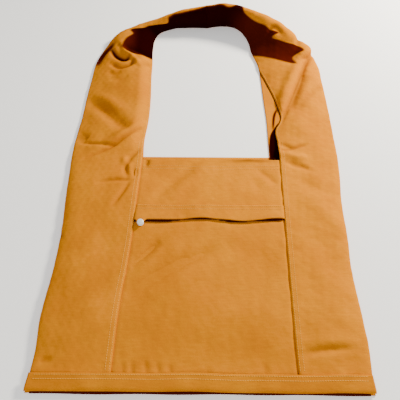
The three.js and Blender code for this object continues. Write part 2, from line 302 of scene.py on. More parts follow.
CENTRE_CREASES = [
    ([(-7, 386), (-47, 345), (-84, 306)], 9, -2.0, 0.05),
    ([(10, 376), (-30, 336), (-60, 302)], 10, 1.3, 0),
    ([(-104, 402), (-103, 376)], 4.5, -2.2, 0.30),
    ([(104, 372), (126, 352), (138, 336)], 7, -1.6, 0.08),
    ([(96, 350), (104, 326)], 8, -1.0, 0.03),
    ([(-66, 226), (-90, 203), (-116, 178)], 7, -2.4, 0.10),
    ([(-60, 214), (-80, 194), (-104, 168)], 8, 1.4, 0),
    ([(40, 218), (-33, 185), (-79, 159), (-121, 132)], 13, -2.6, 0.07),
    ([(50, 196), (-20, 160), (-80, 124)], 16, 1.6, 0),
    ([(120, 210), (80, 150), (50, 110)], 20, -1.2, 0),
    ([(-112, 40), (-108, 24)], 4, -0.9, 0.10),
    ([(-98, 40), (-95, 24)], 4, -0.9, 0.12),
    ([(-79, 42), (-75, 24)], 4, -1.0, 0.12),
    ([(-62, 40), (-57, 24)], 4, -0.9, 0.10),
    ([(-44, 38), (-41, 24)], 4, -0.8, 0.08),
    ([(92, 38), (94, 24)], 5, -0.7, 0.04),
]


CREASE_DEPTH = 1.6
# A strip's sewn edge is pressed down over this width.
EDGE_PRESS = 2.5
# How high each strap's inner side stands above its outer side, and where its brow lies across.
STRAP_LEAN = {"left": (11, 0.2), "right": (7, 0.75)}


def creased(x, y, creases):
    """Height and painted fold shade that a list of creases gives at each place."""
    high = np.zeros(np.broadcast(x, y).shape)
    dark = np.zeros_like(high)
    for points, wide, rise, painted_shade_amount in creases:
        shape = stroke(x, y, points, wide)
        high += CREASE_DEPTH * rise * shape
        if painted_shade_amount:
            dark = np.maximum(dark, painted_shade_amount * stroke(x, y, points, wide * 0.8))
    return high, dark


def plain_mesh(name, corners, faces, finish, painted_shade_amount=None):
    mesh = bpy.data.meshes.new(name)
    mesh.from_pydata((corners * MM + ORIGIN).tolist(), [], faces)
    mesh.materials.append(finish)
    mesh.shade_smooth()
    # Painted shade at each corner, which the canvas turns into darker brown.
    shade = mesh.attributes.new("painted_shade", "FLOAT", "POINT")
    values = np.zeros(len(corners)) if painted_shade_amount is None else painted_shade_amount
    shade.data.foreach_set("value", values.astype(np.float32))
    mesh.update()
    piece = bpy.data.objects.new(name, mesh)
    SCENE.collection.objects.link(piece)
    return piece


def shell(name, points, finish, thick=CANVAS, painted_shade_amount=None, below_shade_share=1.0):
    """A closed sheet round a grid of points, whose rows run along and whose columns run across.

    The painted shade darkens its upper side in folds and shaded places; its under side takes a
    share of it.
    """
    rows, columns = points.shape[:2]
    normal = normals_of(points)
    half = np.asarray(thick, float) / 2
    half = half[..., None] if half.ndim else half
    above, below = points + normal * half, points - normal * half
    corners = np.concatenate([above.reshape(-1, 3), below.reshape(-1, 3)])
    number = np.arange(rows * columns).reshape(rows, columns)
    a, b = number[:-1, :-1], number[:-1, 1:]
    c, d = number[1:, 1:], number[1:, :-1]
    top = np.stack([a, b, c, d], axis=-1).reshape(-1, 4)
    under = top[:, ::-1] + rows * columns
    rim = np.concatenate([number[0, :], number[1:, -1], number[-1, -2::-1], number[-2:0:-1, 0]])
    onward = np.roll(rim, -1)
    deep = rows * columns
    wall = np.stack([rim, rim + deep, onward + deep, onward], axis=-1)
    faces = np.concatenate([top, under, wall]).tolist()
    shade = None if painted_shade_amount is None else np.concatenate([painted_shade_amount.ravel(), below_shade_share * painted_shade_amount.ravel()])
    return plain_mesh(name, corners, faces, finish, shade)


def area_of(points):
    """Area of the grid in square metres."""
    across, along = points[:-1, 1:] - points[:-1, :-1], points[1:, :-1] - points[:-1, :-1]
    return float(np.linalg.norm(np.cross(across, along), axis=-1).sum()) * MM * MM


def span_of(points):
    """Greatest width and length of the grid along its own lines, in metres."""
    across = np.linalg.norm(np.diff(points, axis=1), axis=-1).sum(axis=1).max()
    along = np.linalg.norm(np.diff(points, axis=0), axis=-1).sum(axis=0).max()
    return float(across) * MM, float(along) * MM


def declare(points):
    """Work out a sheet's flat size and its cut area; they are not kept or stated."""
    wide, tall = span_of(points)
    whole, cut = wide * tall, area_of(points)


def steps(low, high, cell=CELL):
    return np.linspace(low, high, max(2, int(round((high - low) / cell)) + 1))


def patch(left, right, low, high, cell=CELL):
    """A grid of flat places between two edge lines; left and right may be numbers."""
    y = steps(low, high, cell)
    x0 = left(y) if callable(left) else np.full_like(y, left)
    x1 = right(y) if callable(right) else np.full_like(y, right)
    share = np.linspace(0, 1, max(2, int(round(np.max(x1 - x0) / cell)) + 1))
    grid_y = np.repeat(y[:, None], len(share), axis=1)
    return mix(x0[:, None], x1[:, None], share[None, :]), grid_y


def inset_line(points, inset, far_side=False):
    """The line on a grid that keeps a distance from its first (or last) column."""
    grid = points[:, ::-1] if far_side else points
    lengths = np.linalg.norm(np.diff(grid, axis=1), axis=-1)
    total = np.concatenate([np.zeros((len(grid), 1)), np.cumsum(lengths, axis=1)], axis=1)
    return np.array([[np.interp(inset, total[i], grid[i, :, k]) for k in range(3)]
                     for i in range(len(grid))])


def across_line(points, inset, far_side=False):
    """The line on a grid that keeps a distance from its first (or last) row."""
    return inset_line(points.transpose(1, 0, 2), inset, far_side)


def lift(path, rise=0.75):
    """The path of a row of stitches, raised to lie on the cloth."""
    raised = np.array(path, float)
    raised[:, 2] += rise
    return raised


# Shader maths written as plain expressions.
class Value:
    """A shader socket that can be used in ordinary arithmetic."""

    def __init__(self, tree, socket):
        self.tree, self.socket = tree, socket

    def node(self, kind, settings=(), output=0, **inputs):
        made = self.tree.nodes.new(kind)
        for key, setting in dict(settings).items():
            setattr(made, key, setting)
        for key, given in inputs.items():
            target = made.inputs[int(key[1:])] if key[0] == "i" and key[1:].isdigit() \
                else made.inputs[key.replace("_", " ")]
            if isinstance(given, Value):
                self.tree.links.new(given.socket, target)
            else:
                target.default_value = given
        return Value(self.tree, made.outputs[output])

    def math(self, operation, other=0.0, clamp=False):
        return self.node("ShaderNodeMath", {"operation": operation, "use_clamp": clamp},
                         i0=self, i1=other)

    def __add__(self, other):
        return self.math("ADD", other)

    def __mul__(self, other):
        return self.math("MULTIPLY", other)

    __radd__, __rmul__ = __add__, __mul__

    def clamped(self):
        return self.math("ADD", 0.0, clamp=True)

    def between(self, low, high, to_low=0.0, to_high=1.0):
        return self.node("ShaderNodeMapRange", {"interpolation_type": "SMOOTHSTEP"}, i0=self,
                         i1=low, i2=high, i3=to_low, i4=to_high)

    def tint(self, first, second):
        """The first colour where this is 0, the second where it is 1."""
        return self.node("ShaderNodeMix", {"data_type": "RGBA"}, output=2, i0=self, i6=first,
                         i7=second)

    def noise(self, scale, detail=2.0, roughness=0.5, distortion=0.0):
        return self.node("ShaderNodeTexNoise", i0=self, Scale=scale, Detail=detail,
                         Roughness=roughness, Distortion=distortion)

    def stretched(self, x, y, z):
        return self.node("ShaderNodeMapping", i0=self, Scale=(x, y, z))


def new_material(name, roughness=0.9, metallic=0.0, **constants):
    material = bpy.data.materials.new(name)
    material.use_nodes = True
    tree = material.node_tree
    surface = tree.nodes["Principled BSDF"]
    surface.inputs["Roughness"].default_value = roughness
    surface.inputs["Metallic"].default_value = metallic
    for key, value in constants.items():
        surface.inputs[key.replace("_", " ")].default_value = value
    place = tree.nodes.new("ShaderNodeTexCoord")
    return material, tree, surface, Value(tree, place.outputs["Object"])


GOLD = (0.600, 0.194, 0.0006, 1)
GOLD_PALE = (0.680, 0.240, 0.0010, 1)
GOLD_DEEP = (0.430, 0.110, 0.0004, 1)
# Colours of painted shade: brown in folds, near black where the shade is deepest.
SHADE_BROWN = (0.070, 0.006, 0.002, 1)
SHADE_BLACK = (0.012, 0.0006, 0.0006, 1)
THREAD = (0.88, 0.47, 0.075, 1)


def duck_canvas():
    """Plain-woven cotton: fine ribs both ways and faint fading, with painted shade that turns deep
    folds dark brown and the deepest shade near black.
    """
    material, tree, surface, place = new_material("duck_canvas", 0.9, Specular_IOR_Level=0.0)
    ribs_across = place.stretched(700, 2600, 500).noise(1.0, 2.0)
    ribs_along = place.stretched(2600, 700, 500).noise(1.0, 2.0)
    weave = ribs_across + ribs_along
    slubs = place.stretched(60, 420, 60).noise(1.0, 3.0)
    fading = place.noise(9.0, 4.0, 0.6)
    patches = place.noise(34.0, 3.0, 0.55, 0.4)
    mottle = (fading * 0.65 + patches * 0.35).between(0.36, 0.64)
    faded = mottle.tint(GOLD, GOLD_PALE)
    flecks = (weave * 0.35 + slubs * 0.3).between(0.38, 0.62)
    cloth = (flecks * 0.40).tint(faded, GOLD_DEEP)
    # The painted shade each sheet carries, from creases and shaded faces.
    dark = place.node("ShaderNodeAttribute", {"attribute_name": "painted_shade"}, output=2)
    shade_tinted = (dark * 1.9).clamped().tint(cloth, SHADE_BROWN)
    deep = dark.between(0.55, 1.0)
    colour = deep.tint(shade_tinted, SHADE_BLACK)
    tree.links.new(colour.socket, surface.inputs["Base Color"])
    crumple = place.noise(120.0, 4.0, 0.6)
    height = weave * 0.00012 + crumple * 0.0009
    bump = height.node("ShaderNodeBump", Height=height, Distance=1.0, Strength=0.55)
    tree.links.new(bump.socket, surface.inputs["Normal"])
    return material


def lining_cloth():
    material, tree, surface, place = new_material("lining_cloth", 0.95, Sheen_Weight=0.25)
    nap = place.noise(900.0, 3.0)
    colour = nap.tint((0.085, 0.018, 0.006, 1), (0.15, 0.04, 0.014, 1))
    tree.links.new(colour.socket, surface.inputs["Base Color"])
    return material


def wadding():
    material, tree, surface, place = new_material("wadding", 1.0)
    fluff = place.noise(260.0, 4.0)
    tree.links.new(fluff.tint((0.62, 0.58, 0.5, 1), (0.85, 0.82, 0.75, 1)).socket,
                   surface.inputs["Base Color"])
    return material


def sewing_thread():
    material, tree, surface, place = new_material("sewing_thread", 0.8, Specular_IOR_Level=0.1)
    wear = place.noise(160.0, 2.0)
    tree.links.new(wear.tint(THREAD, (0.76, 0.38, 0.050, 1)).socket, surface.inputs["Base Color"])
    return material


def snap_nickel():
    material, tree, surface, place = new_material("snap_nickel", 0.34, 0.35)
    worn = place.noise(700.0, 3.0)
    tree.links.new(worn.tint((0.93, 0.92, 0.88, 1), (0.80, 0.78, 0.72, 1)).socket,
                   surface.inputs["Base Color"])
    return material


CANVAS_CLOTH = duck_canvas()
LINING_CLOTH = lining_cloth()
WADDING = wadding()
SEWING_THREAD = sewing_thread()
SNAP_METAL = snap_nickel()


# Side strips: each runs from the hem up over the body and on round the neck loop.
right_front_inner = line([(STRAP_START, 149), (440, 149.5), (477, 150.5), (492, 159), (506, 163),
                          (530, 160), (556, 155), (612, 139), (653, 127.5), (SWING_END, 126)])


def strip_table(loop, seam, edge, inner=None):
    """Knots from the hem to the middle of the loop, with another inner edge where one is given."""
    body = [(y, float(seam(y)), y, float(seam(y) + edge(y)) / 2, y, 0, float(edge(y)), y)
            for y in (BODY_LOW, 60, 100, 140, 189, 240, 314, 365)]
    if inner is not None:
        loop = [(row[0], float(inner(row[0])), *row[2:]) if row[0] < SWING_END else row
                for row in loop]
    return body + loop


def strip_grid(start):
    """Places along a strip, closer together round the roll, and shares across it."""
    places = np.concatenate([steps(start, ROLL_START), steps(ROLL_START, LOOP_END, 1.9)[1:]])
    shares = np.linspace(0, 1, STRIP_COLUMNS)
    return (np.repeat(places[:, None], len(shares), axis=1),
            np.repeat(shares[None, :], len(places), axis=0))


# The shaded inner face of the roll: its lower border across each strip, and how much of the width
# it takes at each place along. The rim outside it stays in the light.
left_border = line([(-200, 716), (-185, 706), (-160, 696), (-135, 684), (-112, 676)])
right_border = line([(110, 696), (129, 687), (167, 668), (188, 658), (209, 645), (230, 640)])
left_reach = line([(680, 0.46), (735, 0.42), (748, 0.37), (768, 0.50), (785, 0.40), (802, 0.46),
                   (812, 0.42), (820, 0.36), (830, 0.36), (838, 0.47), (847, 0.49), (876, 0.46),
                   (908, 0.46), (935, 0.49)])
right_reach = line([(640, 0.52), (655, 0.47), (672, 0.46), (682, 0.53), (693, 0.61), (707, 0.56),
                    (716, 0.44), (727, 0.37), (736, 0.32), (743, 0.35), (749, 0.43), (758, 0.38),
                    (775, 0.36), (792, 0.33), (823, 0.38), (842, 0.46), (850, 0.52), (857, 0.57),
                    (863, 0.50), (899, 0.48), (935, 0.49)])


def face_dark_left(x, y, q, t):
    face = smooth(y - left_border(np.clip(x, -200, -112)), -3, 5) * smooth(q, 660, 690)
    face *= 1 - smooth(t, left_reach(q) - 0.02, left_reach(q) + 0.04)
    depth = np.maximum(smooth(q, 740, 820), smooth(x, -176, -140))
    return face * mix(0.7, 1.0, depth)


def face_dark_right(x, y, q, t):
    face = smooth(y - right_border(np.clip(x, 110, 230)), -3, 4) * smooth(q, 632, 648)
    face *= 1 - smooth(t, right_reach(q) - 0.02, right_reach(q) + 0.04)
    return face * mix(0.68, 0.95, smooth(q, 790, 880))


def meet_in_middle(points, q, sign):
    """Bring a strip's last row exactly to the seam at the middle of the loop."""
    stop = LOOP_MIDDLE + sign * 0.05
    points[..., 0] += (stop - points[-1:, :, 0]) * smooth(q, 900, LOOP_END)
    points[..., 0] = np.maximum(points[..., 0], stop) if sign > 0 \
        else np.minimum(points[..., 0], stop)


def side_cloth(side):
    """One strip of canvas from the hem over the body to the middle of the neck loop."""
    sign = 1 if side == "right" else -1
    loop, seam, edge, creases = {
        "left": (LEFT_LOOP, left_seam, left_edge, LEFT_CREASES),
        "right": (RIGHT_LOOP, right_seam, right_edge, RIGHT_CREASES)}[side]
    q, t = strip_grid(BODY_LOW)
    swing = right_front_inner if sign > 0 else None
    points = loop_surface(strip_table(loop, seam, edge, swing))(q, t)
    if swing:
        inner = points[:, :1, 0]
        wanted = swing(np.clip(q[:, :1], STRAP_START, SWING_END))
        on_strap = (q[:, :1] >= STRAP_START) & (q[:, :1] <= SWING_END)
        points[..., 0] += np.where(on_strap, wanted - inner, 0) * (1 - t) ** 1.6
    x, y = points[..., 0].copy(), points[..., 1].copy()
    landed = smooth(q, STRAP_START - 8, 468)
    body = front_height(x, np.clip(y, 0, STRAP_START))
    fat = mix(5.2, 3.6, smooth(q, 690, 800))
    puff = 3.0 + fat * np.clip(1 - np.abs(2 * t - 1) ** 2.4, 0, 1)
    lean, brow = STRAP_LEAN[side]
    puff += lean * smooth(t, 0, brow) * (1 - t) * (1 - smooth(q, 660, 740))
    puff += 0.9 * wander(x, y, 85, 11 + sign) * np.sin(t * math.pi)
    pressed = np.exp(-(t * 115 / EDGE_PRESS) ** 2)
    high = mix(body - 0.9 * pressed, puff, landed)
    fold, dark = creased(x, y, creases)
    edge_fade = np.clip(1.3 - 1.3 * (2 * t - 1) ** 8, 0.25, 1)
    high += fold * edge_fade
    high += 0.35 * wander(x, y, 34, 21 + sign) + 0.16 * wander(x, y, 15, 25 + sign)
    # The roll's inner face takes painted shade on top of the painted fold shade.
    if sign > 0:
        dark = np.maximum(dark, face_dark_right(x, y, q, t))
    else:
        dark = np.maximum(dark, face_dark_left(x, y, q, t))
    normal = normals_of(points) * sign
    least = mix(body - 3.4, 3.0, landed)
    high = np.maximum(high, least) + 0.25 * np.clip(high - least, -3, 0)
    points = points + normal * np.maximum(high, 2.6)[..., None]
    points[..., 2] = np.maximum(points[..., 2], 2.6)
    meet_in_middle(points, q, sign)
    if sign < 0:
        points, dark = points[:, ::-1], dark[:, ::-1]
    piece = shell(f"{side}_side_cloth", points, CANVAS_CLOTH, painted_shade_amount=dark,
                  below_shade_share=1 - smooth(np.abs(points[..., 0] - LOOP_MIDDLE), 1, 6).ravel())
    return piece, points, q[:, 0]


TUCK = 12
gap_edge = line([(STRAP_START - 10, 131), (440, 132.5), (465, 138), (484, 149), (520, 170)])


def hidden_dark(x, y):
    """The painted shade that shows between the right strap's two layers."""
    gap = smooth(x - gap_edge(y), 0, 3) * (1 - smooth(y, 482, 500))
    behind = x - right_front_inner(np.clip(y, STRAP_START, SWING_END))
    under = smooth(behind, -2.4, 0.4) * (1 - smooth(behind, 8, 16))
    slit = 0.9 * stroke(x, y, [(144, 474), (149, 509), (157, 531)], 2.2)
    return np.maximum(np.maximum(gap, slit), under)


def back_strap(side):
    """The strap's under layer, tucked a little way down behind the neckline."""
    sign = 1 if side == "right" else -1
    loop = RIGHT_LOOP if sign > 0 else LEFT_LOOP
    _, inner_x, inner_y, crest_x, crest_y, crest_z, outer_x, outer_y = loop[0]
    tucked = (STRAP_START - 2 * TUCK, inner_x, inner_y - TUCK, crest_x, crest_y - TUCK, crest_z,
              outer_x, outer_y - TUCK)
    q, t = strip_grid(STRAP_START - 10)
    points = loop_surface([tucked] + loop)(q, t)
    x, y = points[..., 0], points[..., 1]
    dark = hidden_dark(x, y) if sign > 0 else np.zeros_like(t)
    rise = 0.8 + 0.4 * (1 + wander(x, y, 70, 31 + sign)) * np.sin(t * math.pi)
    points = points + normals_of(points) * sign * rise[..., None]
    points[..., 2] = np.maximum(points[..., 2], 0.7)
    meet_in_middle(points, q, sign)
    if sign < 0:
        points, dark = points[:, ::-1], dark[:, ::-1]
    piece = shell(f"{side}_back_strap", points, CANVAS_CLOTH, 1.0, painted_shade_amount=dark, below_shade_share=0)
    return piece, points


def bend_across_neckline(piece):
    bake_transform(piece)


# Rows of stitches, gathered as the cloth is made. A strip's second row ends past the neckline.
ROW_INSET = 2.6
SECOND_ROW_END = 440
stitch_rows = {"strips": [], "body": [], "flap": []}

for side in ("left", "right"):
    cloth, grid, places = side_cloth(side)
    inner_is_last = side == "left"
    for inset in (ROW_INSET, SEAM_WIDE - ROW_INSET):
        row = inset_line(grid, inset, inner_is_last)
        stop = np.searchsorted(places, ROLL_START if inset == ROW_INSET else SECOND_ROW_END)
        stitch_rows["strips"].append(lift(row[4:stop]))
    declare(grid)
    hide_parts(f"{side}_side_panel", f"{side}_strap_front")
    bend_across_neckline(cloth)
    strap, strap_points = back_strap(side)
    declare(strap_points)
    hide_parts(f"{side}_strap_back")
    bend_across_neckline(strap)


def body_sheet(name, node, grid_places, height, finish, thick=CANVAS,
               painted_shade_amount=None, body="muff_body", pad=None):
    """A sheet or a padded layer over flat places, at a height, in place of one CAD node."""
    x, y = grid_places
    points = np.stack([x, y, height], axis=-1)
    piece = shell(name, points, finish, thick, painted_shade_amount, 0)
    if pad is None:
        declare(points)
    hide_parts(node)
    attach(piece, body)
    return piece, points


# Back of the muff.
def edge_inset(edge, inset):
    return lambda y: edge(y) + inset


def build_back():
    x, y = patch(left_edge, right_edge, 1, BACK_NECKLINE, 4)
    lip = smooth(y, NECKLINE - 18, BACK_NECKLINE)
    # Painted shade at the neckline's right corner, where the mouth between front and back opens.
    corner = smooth(x, 129, 132) * smooth(y, 386, 390)
    body_sheet("back_cloth", "back_panel", (x, y), 0.7 + 2.2 * lip + 0 * x, CANVAS_CLOTH,
               painted_shade_amount=corner)
    inner_low, inner_high = edge_inset(left_edge, 14), edge_inset(right_edge, -14)
    x, y = patch(inner_low, inner_high, BODY_LOW + 8, 350, 6)
    body_sheet("back_wadding", "back_batting", (x, y), 2.5 + 0.2 * wander(x, y, 60, 41), WADDING,
               1.6, pad=0.3)
    body_sheet("back_lining_cloth", "back_lining", (x, y), 4.4 + 0.25 * wander(x, y, 60, 42),
               LINING_CLOTH, LINING)
    x, y = patch(inner_low, inner_high, 352, BACK_NECKLINE - 2, 4)
    # The facing takes the same painted shade at the neckline's right corner.
    body_sheet("back_facing_cloth", "back_facing", (x, y), 3.2 + 2.0 * smooth(y, 380, 404),
               CANVAS_CLOTH, painted_shade_amount=smooth(x, 129, 132) * smooth(y, 386, 390))


# Front of the muff, from the inside outwards.
centre_left = edge_inset(left_seam, -SEAM_WIDE * 0.7)
centre_right = edge_inset(right_seam, SEAM_WIDE * 0.7)


def centre_height(x, y, rise):
    fold, dark = creased(x, y, CENTRE_CREASES)
    fine = 0.22 * wander(x, y, 30, 51) + 0.1 * wander(x, y, 14, 52)
    tuck = np.minimum(x - left_seam(y), right_seam(y) - x)
    hollow = -1.3 * np.exp(-(np.clip(tuck, 0, None) / 2.4) ** 2)
    return front_height(x, y) + fold + fine + rise + hollow, dark


# The flap's free edge is wavy, and the slit under it gapes more in some places than in others.
flap_wave = line([(-125, 0), (-97, 0), (-41, 1.0), (0, 4.0), (40, 0.6), (75, -1.4), (100, 1.0),
                  (128, 3.8), (150, 3.6)])
slit_gape = line([(-125, 0.5), (-97, 0.8), (-60, 0.9), (-35, 0.1), (0, 0.5), (25, 0.1), (50, 0.7),
                  (75, 0.1), (100, 0.5), (130, 0.9), (150, 0.3)])


def build_front():
    inner_low, inner_high = edge_inset(left_edge, 14), edge_inset(right_edge, -14)
    x, y = patch(inner_low, inner_high, BODY_LOW + 22, 350, 5)
    under = np.maximum(front_height(x, y) - 6.0, 6.2)
    body_sheet("front_wadding", "front_batting", (x, y), under, WADDING, 1.4, pad=0.3)
    body_sheet("front_lining_cloth", "front_lining", (x, y), under - 1.3, LINING_CLOTH,
               LINING)
    x, y = patch(inner_low, inner_high, 352, NECKLINE - 1, 4)
    body_sheet("front_facing_cloth", "front_facing", (x, y), front_height(x, y) - 5.4,
               CANVAS_CLOTH)
    x, y = patch(centre_left, centre_right, BODY_LOW + 1, NECKLINE - 2, 4)
    body_sheet("centre_cloth", "centre_panel", (x, y), front_height(x, y) - 4.2,
               CANVAS_CLOTH)

    x, y = patch(centre_left, centre_right, BODY_LOW, POCKET_LIP)
    high, dark = centre_height(x, y, -1.4)
    lip = FLAP_LOW + flap_wave(x)
    slit = smooth(y, lip - SLIT_BAND, lip - 2)
    # Painted shade in the slit under the flap's wavy edge, wider where it gapes more.
    dark = np.maximum(dark, smooth(y - lip, -4.6 * slit_gape(x), 0.4 - 3.0 * slit_gape(x)) * 0.62)
    body_sheet("pocket_cloth", "pocket_panel", (x, y), high - 1.2 * slit, CANVAS_CLOTH, painted_shade_amount=dark)

    x, y = patch(centre_left, centre_right, FLAP_HIGH - 2, NECKLINE)
    high, dark = centre_height(x, y, -1.0)
    # Painted shadow under the neckline's edge, on the yoke's right.
    shadow_edge = 0.30 * np.exp(-((x - 92) / 40) ** 2) * smooth(y, 384, 392)
    _, yoke = body_sheet("yoke_cloth", "front_yoke", (x, y), high, CANVAS_CLOTH,
                         painted_shade_amount=np.maximum(dark, shadow_edge))
    ripple = 1.2 * np.sin(np.linspace(0, 9, yoke.shape[1]))
    for inset in (15.5, 22.5):
        row = across_line(yoke, inset, True)
        row[:, 1] += ripple
        stitch_rows["body"].append(lift(row[5:-5]))


def build_flap():
    x, y = patch(edge_inset(left_seam, 0.4), edge_inset(right_seam, -0.4), FLAP_LOW, FLAP_HIGH, 1.6)
    free = 1 - smooth(y, FLAP_LOW, FLAP_HIGH - 4)
    corner = np.exp(-((x - SNAP_X) / 7.0) ** 4)
    y = y + (flap_wave(x) - 8.5 * corner) * free
    high, dark = centre_height(x, y, 0.6)
    high = high + free * mix(0.6 + 1.6 * slit_gape(x), SNAP_FLAP, corner)
    _, points = body_sheet("flap_cloth", "pocket_flap", (x, y), high, CANVAS_CLOTH, painted_shade_amount=dark,
                           body="pocket_flap_body")
    for inset in (1.8, 8.0):
        row = across_line(points, inset, True)
        stitch_rows["flap"].append(lift(row[3:-3]))


def seam_band(side):
    seam, sign = (left_seam, -1) if side == "left" else (right_seam, 1)
    x, y = patch(lambda v: seam(v) + min(0, sign * SEAM_WIDE), lambda v: seam(v) +
                 max(0, sign * SEAM_WIDE), BODY_LOW, NECKLINE - 2, 2)
    high = front_height(x, y) - 1.5
    body_sheet(f"{side}_seam_band", f"{side}_felled_seam", (x, y), high, CANVAS_CLOTH)


# Hem bands: turned strips, rounded at the hem's lower edge.
BAND_TOP = 26.5


def hem_band(name, node, path, ends, seed, painted_hem_shade=0):
    path = np.array(path, float)
    read = spline(np.column_stack([np.linspace(0, 1, len(path)), path]))
    v = np.linspace(0, 1, 22)
    section = read(v)
    half_low, half_high = ends
    share = np.linspace(0, 1, 210)
    y = np.repeat(section[:, :1], len(share), axis=1)
    low = mix(-half_low, -half_high, np.clip(y / HEM_TALL, 0, 1))
    high = mix(half_low - 1, half_high + 1, np.clip(y / HEM_TALL, 0, 1))
    x = mix(low, high, share[None, :])
    z = np.repeat(section[:, 1:], len(share), axis=1)
    near_end = np.minimum(share, 1 - share)[None, :] * 500
    z = mix(z * 0.72 + 0.8, z, smooth(near_end, 0, 40))
    wave = 0.5 * wander(x, y, 90, seed) + 0.25 * wander(x, y, 26, seed + 1)
    z = z + wave * smooth(y, 0, 8)
    y = y + 0.5 * wander(x, 0 * y, 120, seed + 2)
    points = np.stack([x, y, z], axis=-1)
    # The band takes an even painted shade, used for the back band that lies under the front one.
    piece = shell(name, points, CANVAS_CLOTH, 1.3, np.full(x.shape, float(painted_hem_shade)))
    declare(points)
    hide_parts(node)
    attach(piece, "muff_body")
    return points


def build_hem():
    front = hem_band("hem_front_cloth", "hem_band_front",
                     [(6.0, 4.4), (4.0, 5.6), (4.4, 7.2), (8, 8.8), (14, 10.0), (21, 11.2),
                      (BAND_TOP, 12.2)], (247, 242), 61)
    hem_band("hem_back_cloth", "hem_band_back",
             [(8, 1.4), (2.0, 1.7), (0.9, 2.5), (2.0, 3.4), (8, 3.4), (24, 3.4)], (239, 238), 65,
             painted_hem_shade=0.55)
    for inset in (2.4, 8.0):
        stitch_rows["body"].append(lift(across_line(front, inset, True)[4:-4]))


def build_sides():
    for side, edge, sign in (("left", left_edge, -1), ("right", right_edge, 1)):
        strips = (("hand_hem_front", HAND_OPENING, 4.4), ("hand_hem_back", HAND_OPENING, 2.2),
                  ("side_seam", (HAND_OPENING[1] + 16, BACK_NECKLINE - 8), 2.9))
        for name, (low, high), rise in strips:
            near = edge_inset(edge, -12 * sign)
            far = edge_inset(edge, -0.6 * sign)
            x, y = patch(*((far, near) if sign < 0 else (near, far)), low, high, 4)
            z = rise + (front_height(x, y) - SIDE_RISE) * (0.8 if name == "hand_hem_front" else 0)
            thick = 2.2 if name == "side_seam" else 1.4
            body_sheet(f"{side}_{name}_cloth", f"{side}_{name}", (x, y),
                       np.maximum(z - 0.4, rise - 0.4) + 0 * x, CANVAS_CLOTH, thick=thick)


build_back()
build_front()
build_flap()
for side in ("left", "right"):
    seam_band(side)
build_hem()
build_sides()


# Snap: a domed cap on the flap's corner, with its socket below and the stud on the pocket.
def turned(name, node, profile, place, body):
    """A metal part turned from a profile of (radius, height), closed at both ends."""
    around = 40
    angles = np.linspace(0, math.tau, around, endpoint=False)
    corners = [[0, 0, profile[0][1]]]
    for radius, high in profile[1:-1]:
        corners += [[radius * math.cos(a), radius * math.sin(a), high] for a in angles]
    corners.append([0, 0, profile[-1][1]])
    last = len(corners) - 1
    faces = [[0, 1 + (i + 1) % around, 1 + i] for i in range(around)]
    for ring in range(len(profile) - 3):
        first = 1 + ring * around
        for i in range(around):
            j = (i + 1) % around
            faces.append([first + i, first + j, first + around + j, first + around + i])
    top = last - around
    faces += [[last, top + i, top + (i + 1) % around] for i in range(around)]
    piece = plain_mesh(name, np.array(corners) + place, faces, SNAP_METAL)
    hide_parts(node)
    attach(piece, body)


def build_snap():
    base = float(front_height(np.array(SNAP_X), np.array(SNAP_Y))) + 0.2
    turned("snap_stud_turned", "snap_stud", [(0, 0), (5.2, 0), (5.6, 0.3), (5.2, 0.6), (2, 0.7),
                                             (2.2, 1.0), (1.6, 1.2), (0, 1.3)],
           (SNAP_X, SNAP_Y, base), "muff_body")
    turned("snap_socket_turned", "snap_socket", [(0, 0), (4.4, 0), (4.8, 0.3), (4.8, 0.8),
                                                 (4.4, 1.0), (0, 1.0)],
           (SNAP_X, SNAP_Y, base + 1.4), "pocket_flap_body")
    turned("snap_cap_domed", "snap_cap", [(0, 0), (5.3, 0), (5.8, 0.4), (5.7, 0.9), (5.1, 1.5),
                                          (4.3, 1.8), (3.6, 1.7), (2.6, 2.0), (1.2, 2.2),
                                          (0, 2.3)],
           (SNAP_X, SNAP_Y, base + 3.7), "pocket_flap_body")


def build_neck_tape():
    """The tape under the seam at the middle of the loop, bowed over the roll."""
    t = np.linspace(0.08, 0.92, 40)
    across = np.linspace(-6, 6, 9)
    middle = loop_surface(RIGHT_LOOP)(np.full_like(t, LOOP_END), t)
    rows = np.repeat(middle[:, None, :], len(across), axis=1)
    rows[..., 0] = LOOP_MIDDLE + across[None, :]
    rows[..., 1] = mix(rows[..., 1], 812, 0.10)
    rows[..., 2] = np.maximum(rows[..., 2] - 1.6, 0.8)
    piece = shell("neck_tape_cloth", rows, CANVAS_CLOTH, 0.8)
    declare(rows)
    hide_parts("neck_seam_tape")
    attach(piece, "neck_loop")


build_snap()
build_neck_tape()


